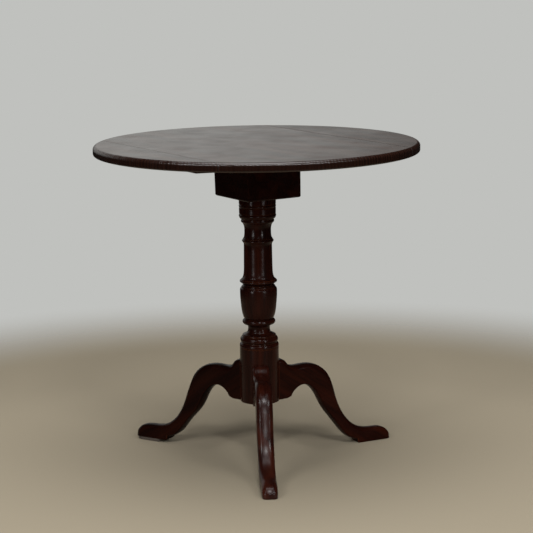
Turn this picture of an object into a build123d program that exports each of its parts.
from build123d import *
from math import atan, copysign, degrees
import os

# Tilt-top tripod table, in millimetres. The origin is on the floor under the column's axis,
# +Z is up, and the top turns about a line along X, so that it faces -Y when it is upright.

# Height of the whole table, and of the column's foot above the floor
table_height = 706.0
column_foot = 128.0

# Column: heights of the turned stages in proportion, from the foot up
base_height = 130.0
base_groove_height = 4.5
base_ring_height = 17.5
waist_height = 26.0
vase_ring_height = 10.0
vase_height = 75.5
flare_height = 12.0
cavetto_height = 26.0
shaft_height = 51.5
astragal_height = 15.5
neck_height = 22.0
bell_height = 25.0
collar_height = 43.5

# Column: radii of the turned stages
base_radius = 43.2
base_ring_radius = 40.9
waist_radius = 24.2
vase_ring_radius = 36.2
vase_foot_radius = 30.3
vase_shoulder_radius = 40.9
vase_groove_radius = 34.1
flare_radius = 41.0
shaft_foot_radius = 31.7
shaft_top_radius = 31.0
astragal_radius = 34.9
neck_radius = 29.3
collar_radius = 40.7

# Column: how far arcs bow out, and small steps between stages
ring_bulge = 2.9
ring_fall = 5.0
waist_flare = 3.0
vase_ring_bulge = 3.2
vase_belly_dip = 1.1
vase_shoulder_drop = 8.3
vase_shoulder_bulge = 1.5
flare_bulge = 1.2
flare_edge = 1.5
cavetto_hollow = 1.6
neck_flare = 1.2
bell_bead_height = 3.5
bell_bead_bulge = 1.3
bell_cove_step = 4.2
bell_cove_sink = 0.7
collar_taper = 0.8
collar_line_rise = 22.5
base_line_drop = 13.0
line_depth = 1.2
base_groove_depth = 2.5

# Column: shares of a stage where its outline turns, and the directions of its curves' ends
vase_belly_share = 0.46
cavetto_hollow_share = 0.3
astragal_peak_share = 0.54
neck_hollow_share = 0.3
bell_rise_share = 0.45
bell_swell_share = 0.3
waist_ends = ((-1, 0.2), (1, 1.2))
vase_ends = ((0.6, 1), (0, 1))
cavetto_ends = ((-1.1, 1), (0, 1))

# Round top of three boards
top_diameter = 710.0
top_thickness = 20.0
rim_round_above = 8.0
rim_round_below = 4.0
front_joint = 250.0
rear_joint = 203.0

# Battens under the boards
bearer_length = 450.0
bearer_width = 35.0
bearer_height = 25.0
bearer_end_height = 19.5
bearer_flat_length = 180.0
bearer_end_round = 12.0
screw_end_distance = 15.0
screw_pitch = 100.0

# Block on the column's tenon, its wedges and its pins
block_width = 137.0
block_depth = 137.0
block_height = 99.0
block_front_lean = 3.0
block_bottom_round = 4.0
tenon_radius = 21.0
wedge_length = 40.0
wedge_thickness = 4.0
wedge_edge = 0.8
wedge_spacing = 16.0
pin_diameter = 14.0
pin_embed = 38.0

# Directions of the legs about the column, from +X towards +Y
front_left_bearing = -152.0
front_right_bearing = -29.0
rear_bearing = 82.5

# Legs
leg_thickness = 38.0
toe_thickness = 33.5
toe_nose = 13.0
upper_arris = 10.0
lower_arris = 5.0
sole_round = 2.0
leg_shoulder = 90.0
toe_reach = 324.0
foot_length = 84.0
foot_height = 29.0
heel_height = 7.5
heel_rake = 2.0
tongue_depth = 18.0
tongue_mouth = 15.0
tongue_root = 21.0
tongue_height = 74.0
pad_thickness = 7.5
pad_heel_gap = 22.0

# Run from the column's face to the toe that the leg's outline is drawn for
outline_run = 280.8

# Leg outline by the column: out from the column's face, and down from the leg's shoulder
wing_edge = (14.0, 3.7)
wing_hollow = (23.0, 14.0)
hump_start = (37.0, 18.7)
hump_crest = (60.0, 18.0)
knee_start = (94.0, 23.0)
knee_middle = (122.0, 46.0)
knee_end = (132.0, 66.0)

# Leg outline by the column: out from the column's face, and up from the column's foot
root_end = (16.0, 0.0)
cusp = (30.0, 4.0)
arch_rise = (41.0, 18.0)
arch_crest = (58.0, 25.0)
arch_fall = (87.0, 7.5)
calf = (110.0, -33.0)

# Leg outline by the foot: in from the toe, and up from the top of the foot
shin = (140.0, 93.5)
ankle_front = (118.0, 42.5)
instep = (76.0, 6.5)
foot_crest = (48.0, 1.2)
toe_top = (20.0, -1.0)
toe_curve = (7.5, -7.0)
toe_tip = (1.0, -15.5)
toe_end = (-4.0, -25.0)
ankle_back = (137.5, 20.5)
heel_slope = (111.0, -10.5)

# Iron brace under the column, and its nails
brace_thickness = 2.5
brace_hub_radius = 28.0
brace_reach = 58.0
brace_arm_width = 20.0
nail_diameter = 3.5
nail_head_diameter = 8.0
nail_head_height = 2.0
nail_dome_bulge = 0.4
nail_length = 24.0
nail_reaches = (33.0, 49.0)

# Catch under the top, and its keeper on the block
keeper_thickness = 2.0
keeper_width = 46.0
keeper_seat = 26.0
keeper_lip = 11.0
bolt_width = 16.0
bolt_thickness = 5.0
bolt_throw = 10.0
bolt_nose_bevel = 2.0
bridge_wall = 3.0
bridge_length = 8.0
plate_width = 44.0
plate_margin = 4.0
plate_corner = 4.0
knob_diameter = 15.0
knob_height = 11.0
knob_stem_diameter = 7.0
knob_tenon_diameter = 4.0
knob_neck = 5.0
knob_widest_share = 0.55
knob_ends = ((1, -0.4), (-1, 0))

# Screws
screw_diameter = 4.5
screw_head_diameter = 9.0
screw_bite = 12.0
small_screw_diameter = 3.0
small_head_diameter = 6.0
small_screw_length = 14.0
small_screw_inset = 6.0
keeper_screw_spacing = 28.0
slot_width = 1.2
slot_depth = 1.0

# Clearances
scribe_gap = 0.05
pin_gap = 0.05
side_gap = 0.5
tilt_gap = 0.3
bolt_gap = 0.1
stem_gap = 0.5
nose_gap = 1.0
cut_margin = 1.0

# Levels of the column's stages, which fill the height from its foot to the block together
underside = table_height - top_thickness
block_bottom = underside - block_height
stages = (
    base_height, base_groove_height, base_ring_height, waist_height, vase_ring_height, vase_height,
    flare_height, cavetto_height, shaft_height, astragal_height, neck_height, bell_height,
    collar_height,
)
stage_scale = (block_bottom - column_foot) / sum(stages)
base_top = column_foot + stage_scale * base_height
base_ring_foot = base_top + stage_scale * base_groove_height
waist_foot = base_ring_foot + stage_scale * base_ring_height
vase_ring_foot = waist_foot + stage_scale * waist_height
vase_foot = vase_ring_foot + stage_scale * vase_ring_height
vase_top = vase_foot + stage_scale * vase_height
flare_top = vase_top + stage_scale * flare_height
shaft_foot = flare_top + stage_scale * cavetto_height
shaft_top = shaft_foot + stage_scale * shaft_height
neck_foot = shaft_top + stage_scale * astragal_height
bell_foot = neck_foot + stage_scale * neck_height
collar_foot = bell_foot + stage_scale * bell_height
leg_top = column_foot + leg_shoulder

# Pivot line of the top, and the places of the battens beside the block
pivot_drop = bearer_height / 2
pivot_height = underside - pivot_drop
pivot_front = block_depth / 2 + tilt_gap - pivot_drop
bearer_inside = block_width / 2 + side_gap
bearer_outside = bearer_inside + bearer_width
bearer_slope = 2 * (bearer_height - bearer_end_height) / (bearer_length - bearer_flat_length)

# Places of the catch, from the block's rear face backwards
block_rear = block_depth / 2
plate_front = block_rear + keeper_lip + nose_gap
front_bridge = plate_front + plate_margin
window_front = front_bridge + bridge_length
rear_bridge = window_front + knob_stem_diameter + bolt_throw + 2 * stem_gap
plate_rear = rear_bridge + bridge_length + plate_margin
knob_rest = rear_bridge - stem_gap - knob_stem_diameter / 2
plate_thickness = keeper_thickness + 2 * tilt_gap - bolt_gap
plate_below = underside - plate_thickness
bolt_above = plate_below - bolt_gap
bolt_below = bolt_above - bolt_thickness
keeper_above = underside - tilt_gap
keeper_below = keeper_above - keeper_thickness

leg_angles = {
    "leg_front_left": front_left_bearing,
    "leg_front_right": front_right_bearing,
    "leg_rear": rear_bearing,
}


def block_between(low, high):
    """A box between its lowest and highest corners."""
    size = [b - a for a, b in zip(low, high)]
    centre = [(a + b) / 2 for a, b in zip(low, high)]
    return Pos(*centre) * Box(*size)


def turned(edges):
    """A solid turned about the Z axis from a closed outline of radius and height."""
    return revolve(Plane.XZ * make_face(edges), Axis.Z)


def upright_rod(radius, foot, top):
    """A round rod on the Z axis between two heights."""
    return Pos(0, 0, (foot + top) / 2) * Cylinder(radius, top - foot)


def countersunk_screw(diameter, head_diameter, length):
    """A screw that points up, with the flat of its head at the origin."""
    shank = diameter / 2
    head = head_diameter / 2
    outline = Polyline(
        (0, 0), (head, 0), (shank, head - shank), (shank, length - shank), (0, length), close=True
    )
    return turned(outline)


def slotted(screw, head_diameter):
    """A screw with the slot for its driver cut across its head."""
    return screw - Box(head_diameter + cut_margin, slot_width, 2 * slot_depth)


def screw_hole(screw, head_diameter):
    """The room of a screw, drawn out below its head so that it opens the face it is flush with."""
    return screw + Pos(0, 0, -cut_margin / 2) * Cylinder(head_diameter / 2, cut_margin)


def brace_nail():
    """A nail that points up, with the underside of its domed head at the origin."""
    shank = nail_diameter / 2
    head = nail_head_diameter / 2
    dome = SagittaArc((0, -nail_head_height), (head, 0), -nail_dome_bulge)
    stem = Polyline(
        (head, 0),
        (shank, 0),
        (shank, nail_length - nail_diameter),
        (0, nail_length),
        (0, -nail_head_height),
    )
    return turned([dome, stem])


def part_way(low, high, share):
    """The level at a share of the way between two levels."""
    return low + share * (high - low)


def incised_line(radius, height):
    """Three points of a fine V cut round a turned face, from below its middle height upwards."""
    return [
        (radius, height - line_depth),
        (radius - line_depth, height),
        (radius, height + line_depth),
    ]


def column_outline():
    """Half of the column's turned section, from the axis at the foot to the tenon's top."""
    base_groove = (base_top + base_ring_foot) / 2
    waist_middle = (waist_foot + vase_ring_foot) / 2
    belly_level = part_way(vase_foot, vase_top, vase_belly_share)
    belly = (vase_shoulder_radius - vase_belly_dip, belly_level)
    shoulder = (vase_shoulder_radius, vase_top - vase_shoulder_drop)
    vase_line = incised_line(vase_shoulder_radius, shoulder[1] - line_depth)
    flare_rim = (flare_radius, flare_top - flare_edge)
    flare_end = (flare_radius - flare_edge, flare_top)
    hollow_level = part_way(flare_top, shaft_foot, cavetto_hollow_share)
    cavetto_middle = (shaft_foot_radius + cavetto_hollow, hollow_level)
    astragal_peak = (astragal_radius, part_way(shaft_top, neck_foot, astragal_peak_share))
    neck_start = (neck_radius + neck_flare, neck_foot)
    neck_hollow = (neck_radius, part_way(bell_foot, neck_foot, neck_hollow_share))
    bell_swell = bell_swell_share * (collar_radius - neck_radius)
    bell_rise = (neck_radius + bell_swell, part_way(bell_foot, collar_foot, bell_rise_share))
    bead_end = (bell_rise[0] + line_depth, bell_rise[1] + bell_bead_height)
    cove_end = (collar_radius - bell_cove_step, collar_foot)
    collar_start = (collar_radius - collar_taper, collar_foot)
    return [
        Polyline(
            (0, column_foot),
            (base_radius, column_foot),
            *incised_line(base_radius, base_top - base_line_drop),
            (base_radius, base_top),
            (base_radius - base_groove_depth, base_groove),
            (base_ring_radius, base_ring_foot),
        ),
        SagittaArc(
            (base_ring_radius, base_ring_foot),
            (base_ring_radius - ring_fall, waist_foot),
            -ring_bulge,
        ),
        Spline(
            (base_ring_radius - ring_fall, waist_foot),
            (waist_radius, waist_middle),
            (waist_radius + waist_flare, vase_ring_foot),
            tangents=waist_ends,
        ),
        Line((waist_radius + waist_flare, vase_ring_foot), (vase_ring_radius, vase_ring_foot)),
        SagittaArc(
            (vase_ring_radius, vase_ring_foot), (vase_foot_radius, vase_foot), -vase_ring_bulge
        ),
        Spline((vase_foot_radius, vase_foot), belly, vase_line[0], tangents=vase_ends),
        Polyline(*vase_line),
        SagittaArc(shoulder, (vase_groove_radius, vase_top), -vase_shoulder_bulge),
        SagittaArc((vase_groove_radius, vase_top), flare_rim, -flare_bulge),
        Line(flare_rim, flare_end),
        Spline(flare_end, cavetto_middle, (shaft_foot_radius, shaft_foot), tangents=cavetto_ends),
        Polyline(
            (shaft_foot_radius, shaft_foot),
            (shaft_top_radius, shaft_top),
            astragal_peak,
            neck_start,
        ),
        Spline(neck_start, neck_hollow, bell_rise),
        SagittaArc(bell_rise, bead_end, -bell_bead_bulge),
        SagittaArc(bead_end, cove_end, bell_cove_sink),
        Polyline(
            cove_end,
            collar_start,
            *incised_line(collar_radius, collar_foot + collar_line_rise),
            (collar_radius, block_bottom),
            (tenon_radius, block_bottom),
            (tenon_radius, underside - tilt_gap),
            (0, underside - tilt_gap),
            (0, column_foot),
        ),
    ]


def leg_outline(sole):
    """The sawn side of a leg, as reach from the column's axis and height, with its sole's level."""
    inside = base_radius - tongue_depth
    stretch = (toe_reach - base_radius) / outline_run
    upper = [
        (base_radius + stretch * out, leg_top - down)
        for out, down in (
            wing_edge, wing_hollow, hump_start, hump_crest, knee_start, knee_middle, knee_end
        )
    ]
    front = [
        (toe_reach - stretch * back, sole + foot_height + up)
        for back, up in (
            shin, ankle_front, instep, foot_crest, toe_top, toe_curve, toe_tip, toe_end
        )
    ]
    back = [
        (toe_reach - stretch * inward, sole + foot_height + up)
        for inward, up in (heel_slope, ankle_back)
    ]
    arch = [
        (base_radius + stretch * out, column_foot + up)
        for out, up in (calf, arch_fall, arch_crest, arch_rise, cusp, root_end)
    ]
    sole_front = (front[-1][0], sole)
    heel = (toe_reach - foot_length, sole)
    heel_top = (toe_reach - foot_length - heel_rake, sole + heel_height)
    return [
        Spline((inside, leg_top), (base_radius, leg_top), *upper, *front),
        Polyline(front[-1], sole_front, heel, heel_top),
        Spline(heel_top, *back, *arch[:-1]),
        Polyline(*arch[-2:], (inside, column_foot), (inside, leg_top)),
    ]


def dovetail_tongue():
    """The tongue of a leg along +X, which slides up into its socket in the column."""
    root = base_radius - tongue_depth
    grip = base_radius + tongue_mouth / 2
    section = Polyline(
        (root, -tongue_root / 2),
        (base_radius, -tongue_mouth / 2),
        (grip, -tongue_mouth / 2),
        (grip, tongue_mouth / 2),
        (base_radius, tongue_mouth / 2),
        (root, tongue_root / 2),
        close=True,
    )
    return extrude(Pos(0, 0, column_foot) * make_face(section), amount=tongue_height)


def leg_plan():
    """A leg along +X seen from above: thinner towards the toe, with a rounded end."""
    root = leg_thickness / 2
    tip = toe_thickness / 2
    nose = toe_reach - toe_nose
    narrowing = root - tip
    return [
        Polyline((nose, tip), (0, root), (0, -root), (nose, -tip)),
        Spline(
            (nose, -tip),
            (toe_reach, 0),
            (nose, tip),
            tangents=((nose, narrowing), (-nose, narrowing)),
        ),
    ]


def leg_arrises(blank, sole, nearest, farthest):
    """The curved edges of a leg's sides above its sole whose far ends lie between two reaches."""
    curved = blank.edges().filter_by(GeomType.BSPLINE)
    curved = curved.filter_by_position(Axis.Z, sole + cut_margin, leg_top)
    return [edge for edge in curved if nearest < edge.bounding_box().max.X <= farthest + cut_margin]


def leg_along_x(sole):
    """A leg along +X: sawn side, soft arrises and sole, scribed to the column, with its tongue."""
    side = Plane.XZ.offset(-leg_thickness / 2) * make_face(leg_outline(sole))
    blank = extrude(side, amount=leg_thickness)
    blank &= extrude(make_face(leg_plan()), amount=leg_top + leg_thickness)
    heel = toe_reach - foot_length
    blank = fillet(leg_arrises(blank, sole, 0, heel), lower_arris)
    blank = fillet(leg_arrises(blank, sole, heel, toe_reach), upper_arris)
    sole_face = blank.faces().sort_by(Axis.Z)[0]
    blank = fillet(sole_face.edges(), sole_round)
    column_face = upright_rod(base_radius + scribe_gap, 0, leg_top + leg_thickness)
    return blank - column_face + dovetail_tongue()


def foot_pad(raised_leg):
    """The felt pad between the floor and the sole of a raised leg along +X, short of the heel."""
    sole = raised_leg.faces().sort_by(Axis.Z)[0]
    pad = extrude(sole, amount=pad_thickness)
    heel = toe_reach - foot_length + pad_heel_gap
    return pad - block_between((0, -leg_thickness, 0), (heel, leg_thickness, pad_thickness))


def brace_plate():
    """The flat iron spider under the column, with an arm along each leg."""
    arm_end = brace_reach - brace_arm_width / 2
    arm = Pos(arm_end / 2, 0) * Rectangle(arm_end, brace_arm_width)
    arm += Pos(arm_end, 0) * Circle(brace_arm_width / 2)
    plan = Circle(brace_hub_radius)
    for angle in leg_angles.values():
        plan += Rot(0, 0, angle) * arm
    return extrude(Pos(0, 0, column_foot - brace_thickness) * plan, amount=brace_thickness)


def tenon_wedge(place):
    """A wedge across the column's tenon, driven in from above at a place along X."""
    top = underside - tilt_gap
    section = Polyline(
        (place - wedge_thickness / 2, top),
        (place + wedge_thickness / 2, top),
        (place + wedge_edge / 2, top - wedge_length),
        (place - wedge_edge / 2, top - wedge_length),
        close=True,
    )
    across = Plane.XZ.offset(-tenon_radius) * make_face(section)
    return extrude(across, amount=2 * tenon_radius) & upright_rod(tenon_radius, 0, top)


def pivot_pin(side, radius):
    """A pin from a batten's outer face into the block, on the +X or -X side."""
    inner = block_width / 2 - pin_embed
    length = bearer_outside - inner
    place = Pos(side * (inner + length / 2), -pivot_front, pivot_height)
    return place * Rot(0, 90, 0) * Cylinder(radius, length)


def pivot_block():
    """The block: flat where the top rests, and round at the edge that the top turns about."""
    section = Polyline(
        (-block_depth / 2 + block_front_lean, block_bottom),
        (block_depth / 2, block_bottom),
        (block_depth / 2, underside),
        (-block_depth / 2, underside),
        close=True,
    )
    face = make_face(section)
    front_edge = face.vertices().group_by(Axis.Y)[-1].sort_by(Axis.X)[0]
    face = fillet(front_edge, pivot_drop)
    solid = extrude(Plane.YZ.offset(-block_width / 2) * face, amount=block_width)
    return fillet(solid.edges().group_by(Axis.Z)[0], block_bottom_round)


def bearer_depth(place):
    """The height of a batten at a place along it: full in the middle, less towards the ends."""
    beyond = max(abs(place) - bearer_flat_length / 2, 0)
    return bearer_height - bearer_slope * beyond


def bearer(side):
    """A batten under the boards, tapered and rounded at its ends, on the +X or -X side."""
    end = bearer_length / 2
    flat = bearer_flat_length / 2
    section = Polyline(
        (-end, underside),
        (-end, underside - bearer_end_height),
        (-flat, underside - bearer_height),
        (flat, underside - bearer_height),
        (end, underside - bearer_end_height),
        (end, underside),
        close=True,
    )
    face = make_face(section)
    lower_corners = face.vertices().group_by(Axis.Y)[1]
    face = fillet(lower_corners, bearer_end_round)
    bar = extrude(Plane.YZ.offset(bearer_inside) * face, amount=bearer_width)
    return bar if side > 0 else mirror(bar, Plane.YZ)


def bearer_screw_places():
    """Where the screws enter the battens from below, square to the face at each place."""
    across = (bearer_inside + bearer_outside) / 2
    outer = bearer_length / 2 - screw_end_distance
    inner = outer - screw_pitch
    taper = degrees(atan(bearer_slope))
    places = []
    for x in (-across, across):
        for y in (-outer, -inner, inner, outer):
            lean = copysign(taper, y) if abs(y) > bearer_flat_length / 2 else 0
            places.append(Pos(x, y, underside - bearer_depth(y)) * Rot(lean, 0, 0))
    return places


def catch_bridge(front):
    """One bridge of the catch plate, with its channel for the bolt."""
    half = bolt_width / 2 + bolt_gap + bridge_wall
    low = bolt_below - bolt_gap - bridge_wall
    body = block_between((-half, front, low), (half, front + bridge_length, plate_below))
    channel = block_between(
        (-bolt_width / 2 - bolt_gap, front, bolt_below - bolt_gap),
        (bolt_width / 2 + bolt_gap, front + bridge_length, plate_below),
    )
    return body - channel


def catch_plate():
    """The brass plate under the top, with a bridge at each end."""
    plan = Rectangle(plate_width, plate_rear - plate_front)
    plan = fillet(plan.vertices(), plate_corner)
    middle = (plate_front + plate_rear) / 2
    plate = extrude(Pos(0, middle, plate_below) * plan, amount=plate_thickness)
    return plate + catch_bridge(front_bridge) + catch_bridge(rear_bridge)


def catch_screw_places():
    """Where the screws enter the catch plate from below."""
    across = plate_width / 2 - small_screw_inset
    ends = (plate_front + small_screw_inset, plate_rear - small_screw_inset)
    return [Pos(x, y, plate_below) for x in (-across, across) for y in ends]


def keeper_screw_places():
    """Where the screws enter the keeper from above."""
    across = keeper_screw_spacing / 2
    seat = block_rear - keeper_seat / 2
    return [Pos(x, seat, keeper_above) * Rot(180, 0, 0) for x in (-across, across)]


def catch_bolt():
    """The flat bolt, drawn back, with its nose bevelled below and a hole for the knob."""
    bar = block_between(
        (-bolt_width / 2, plate_front, bolt_below), (bolt_width / 2, plate_rear, bolt_above)
    )
    nose = bar.edges().filter_by(Axis.X).group_by(Axis.Y)[0].sort_by(Axis.Z)[0]
    bar = chamfer(nose, bolt_nose_bevel)
    hole = upright_rod(knob_tenon_diameter / 2, bolt_below, bolt_above)
    return bar - Pos(0, knob_rest, 0) * hole


def catch_knob():
    """The turned knob below the bolt, with a neck that passes the bridges and a tenon above."""
    neck_end = bolt_below - knob_neck
    end = neck_end - knob_height
    stem = knob_stem_diameter / 2
    tenon = knob_tenon_diameter / 2
    widest = (knob_diameter / 2, neck_end - knob_widest_share * knob_height)
    outline = [
        Polyline((0, bolt_above), (tenon, bolt_above), (tenon, bolt_below), (stem, bolt_below)),
        Line((stem, bolt_below), (stem, neck_end)),
        Spline((stem, neck_end), widest, (0, end), tangents=knob_ends),
        Line((0, end), (0, bolt_above)),
    ]
    return Pos(0, knob_rest, 0) * turned(outline)


def catch_keeper():
    """The brass strap on the block, whose lip stands out over the bolt's path."""
    return block_between(
        (-keeper_width / 2, block_rear - keeper_seat, keeper_below),
        (keeper_width / 2, block_rear + keeper_lip, keeper_above),
    )


def cut_by(solid, tools):
    """A solid with the room of several other pieces taken out of it."""
    for tool in tools:
        solid -= tool
    return solid


# Fasteners, set in their places
nail_places = [(0, 0, column_foot - brace_thickness)]
for angle in leg_angles.values():
    for reach in nail_reaches:
        spot = Rot(0, 0, angle) * Pos(reach, 0, column_foot - brace_thickness)
        nail_places.append(tuple(spot.position))
brace_nails = [Pos(*place) * brace_nail() for place in nail_places]

bearer_screw = countersunk_screw(
    screw_diameter, screw_head_diameter, bearer_end_height + screw_bite
)
bearer_hole = screw_hole(bearer_screw, screw_head_diameter)
bearer_screw = slotted(bearer_screw, screw_head_diameter)
bearer_screws = [place * bearer_screw for place in bearer_screw_places()]
bearer_holes = [place * bearer_hole for place in bearer_screw_places()]

small_screw = countersunk_screw(small_screw_diameter, small_head_diameter, small_screw_length)
small_hole = screw_hole(small_screw, small_head_diameter)
small_screw = slotted(small_screw, small_head_diameter)
catch_screws = [place * small_screw for place in catch_screw_places()]
catch_holes = [place * small_hole for place in catch_screw_places()]
keeper_screws = [place * small_screw for place in keeper_screw_places()]
keeper_holes = [place * small_hole for place in keeper_screw_places()]

# Base: column, legs, brace, pad, block, wedges, pins and keeper
pieces = {}
wedges = [tenon_wedge(x) for x in (-wedge_spacing / 2, wedge_spacing / 2)]
sockets = [Rot(0, 0, angle) * dovetail_tongue() for angle in leg_angles.values()]
pieces["column"] = cut_by(turned(column_outline()), sockets + wedges + brace_nails)
plain_leg = leg_along_x(0)
raised_leg = leg_along_x(pad_thickness)
for name, angle in leg_angles.items():
    leg = raised_leg if name == "leg_front_left" else plain_leg
    pieces[name] = cut_by(Rot(0, 0, angle) * leg, brace_nails)
pieces["left_foot_pad"] = Rot(0, 0, leg_angles["leg_front_left"]) * foot_pad(raised_leg)
pieces["leg_brace"] = cut_by(brace_plate(), brace_nails)
pieces["brace_nails"] = Compound(children=brace_nails)
pieces["tenon_wedges"] = Compound(children=wedges)

pin_radius = pin_diameter / 2
pins = {"pivot_pin_left": -1, "pivot_pin_right": 1}
for name, side in pins.items():
    pieces[name] = pivot_pin(side, pin_radius)
keeper_room = block_between(
    (-keeper_width / 2, block_rear - keeper_seat, keeper_below),
    (keeper_width / 2, block_rear + keeper_lip, underside + tilt_gap),
)
block_holes = [pivot_pin(side, pin_radius + scribe_gap) for side in pins.values()]
block_holes += [upright_rod(tenon_radius + scribe_gap, 0, table_height), keeper_room]
pieces["pivot_block"] = cut_by(pivot_block(), block_holes + keeper_holes)
pieces["catch_keeper"] = cut_by(catch_keeper(), keeper_holes)
pieces["keeper_screws"] = Compound(children=keeper_screws)

# Top: boards, battens and catch plate
disc = upright_rod(top_diameter / 2, underside, table_height)
disc = fillet(disc.edges().group_by(Axis.Z)[-1], rim_round_above)
disc = fillet(disc.edges().group_by(Axis.Z)[0], rim_round_below)
disc = cut_by(disc, bearer_holes + catch_holes)
board_edges = {
    "top_board_front": (-top_diameter, -front_joint),
    "top_board_middle": (-front_joint, rear_joint),
    "top_board_rear": (rear_joint, top_diameter),
}
for name, (front, rear) in board_edges.items():
    strip = block_between((-top_diameter, front, 0), (top_diameter, rear, 2 * table_height))
    pieces[name] = disc & strip
for name, side in {"bearer_left": -1, "bearer_right": 1}.items():
    running_hole = pivot_pin(side, pin_radius + pin_gap)
    pieces[name] = cut_by(bearer(side), bearer_holes + [running_hole])
pieces["bearer_screws"] = Compound(children=bearer_screws)
pieces["catch_plate"] = cut_by(catch_plate(), catch_holes)
pieces["catch_screws"] = Compound(children=catch_screws)

# Catch bolt and its knob
pieces["catch_bolt"] = catch_bolt()
pieces["catch_knob"] = catch_knob()

os.makedirs("parts", exist_ok=True)
for name, piece in pieces.items():
    export_step(piece, f"parts/{name}.step")
print("pieces", len(pieces), "table height", table_height)
